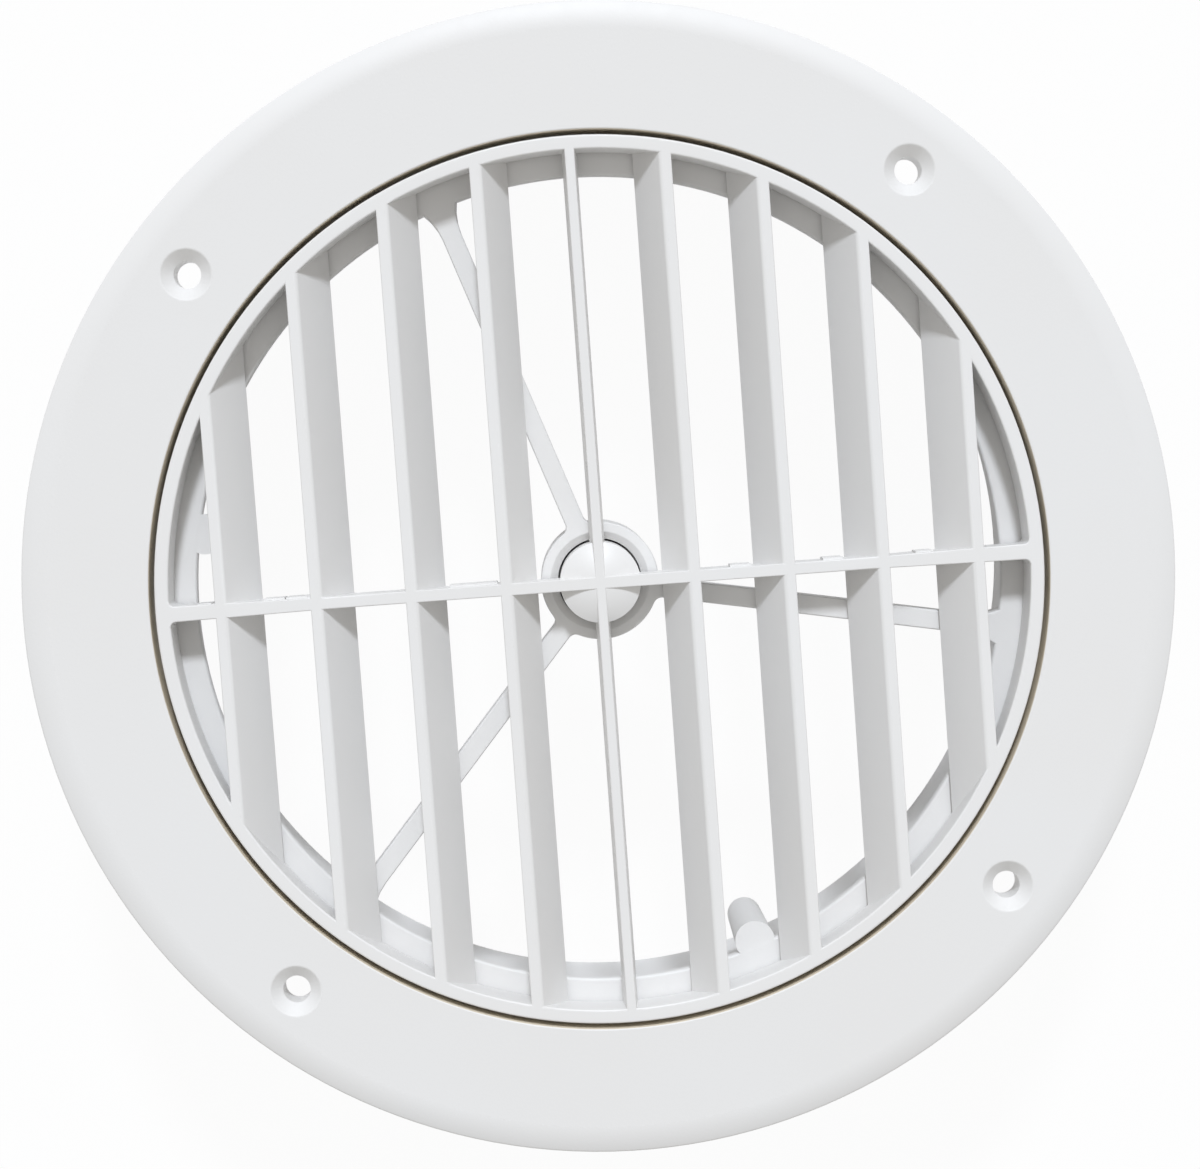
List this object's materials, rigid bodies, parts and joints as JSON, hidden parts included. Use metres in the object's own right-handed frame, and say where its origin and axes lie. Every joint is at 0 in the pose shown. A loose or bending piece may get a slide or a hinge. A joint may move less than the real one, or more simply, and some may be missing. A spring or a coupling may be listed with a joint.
{
  "type": "round louvered vent",
  "caption": "Round louvered air vent: a flanged duct collar with countersunk screw holes, and a louver grille that turns on a central post to aim the air.",
  "frame": {"origin": "on the axis of the vent, in the plane of the flange's back, which lies against the ceiling", "axes": "+Z out of the front face into the room, +X through one of the screw holes"},
  "size_m": [0.1683, 0.1682, 0.0505],
  "materials": {
    "frame_plastic": "white moulded plastic with a fine moulded grain on the flange",
    "grille_plastic": "white moulded plastic, smooth satin"
  },
  "bodies": {
    "frame": {"vent_frame": "frame_plastic"},
    "grille": {"louver_grille": "grille_plastic"}
  },
  "joints": [
    {"name": "grille_turn", "type": "hinge", "parent": "frame", "child": "grille", "pos_m": [0, 0, 0], "axis": [0, 0, 1], "continuous": true}
  ]
}
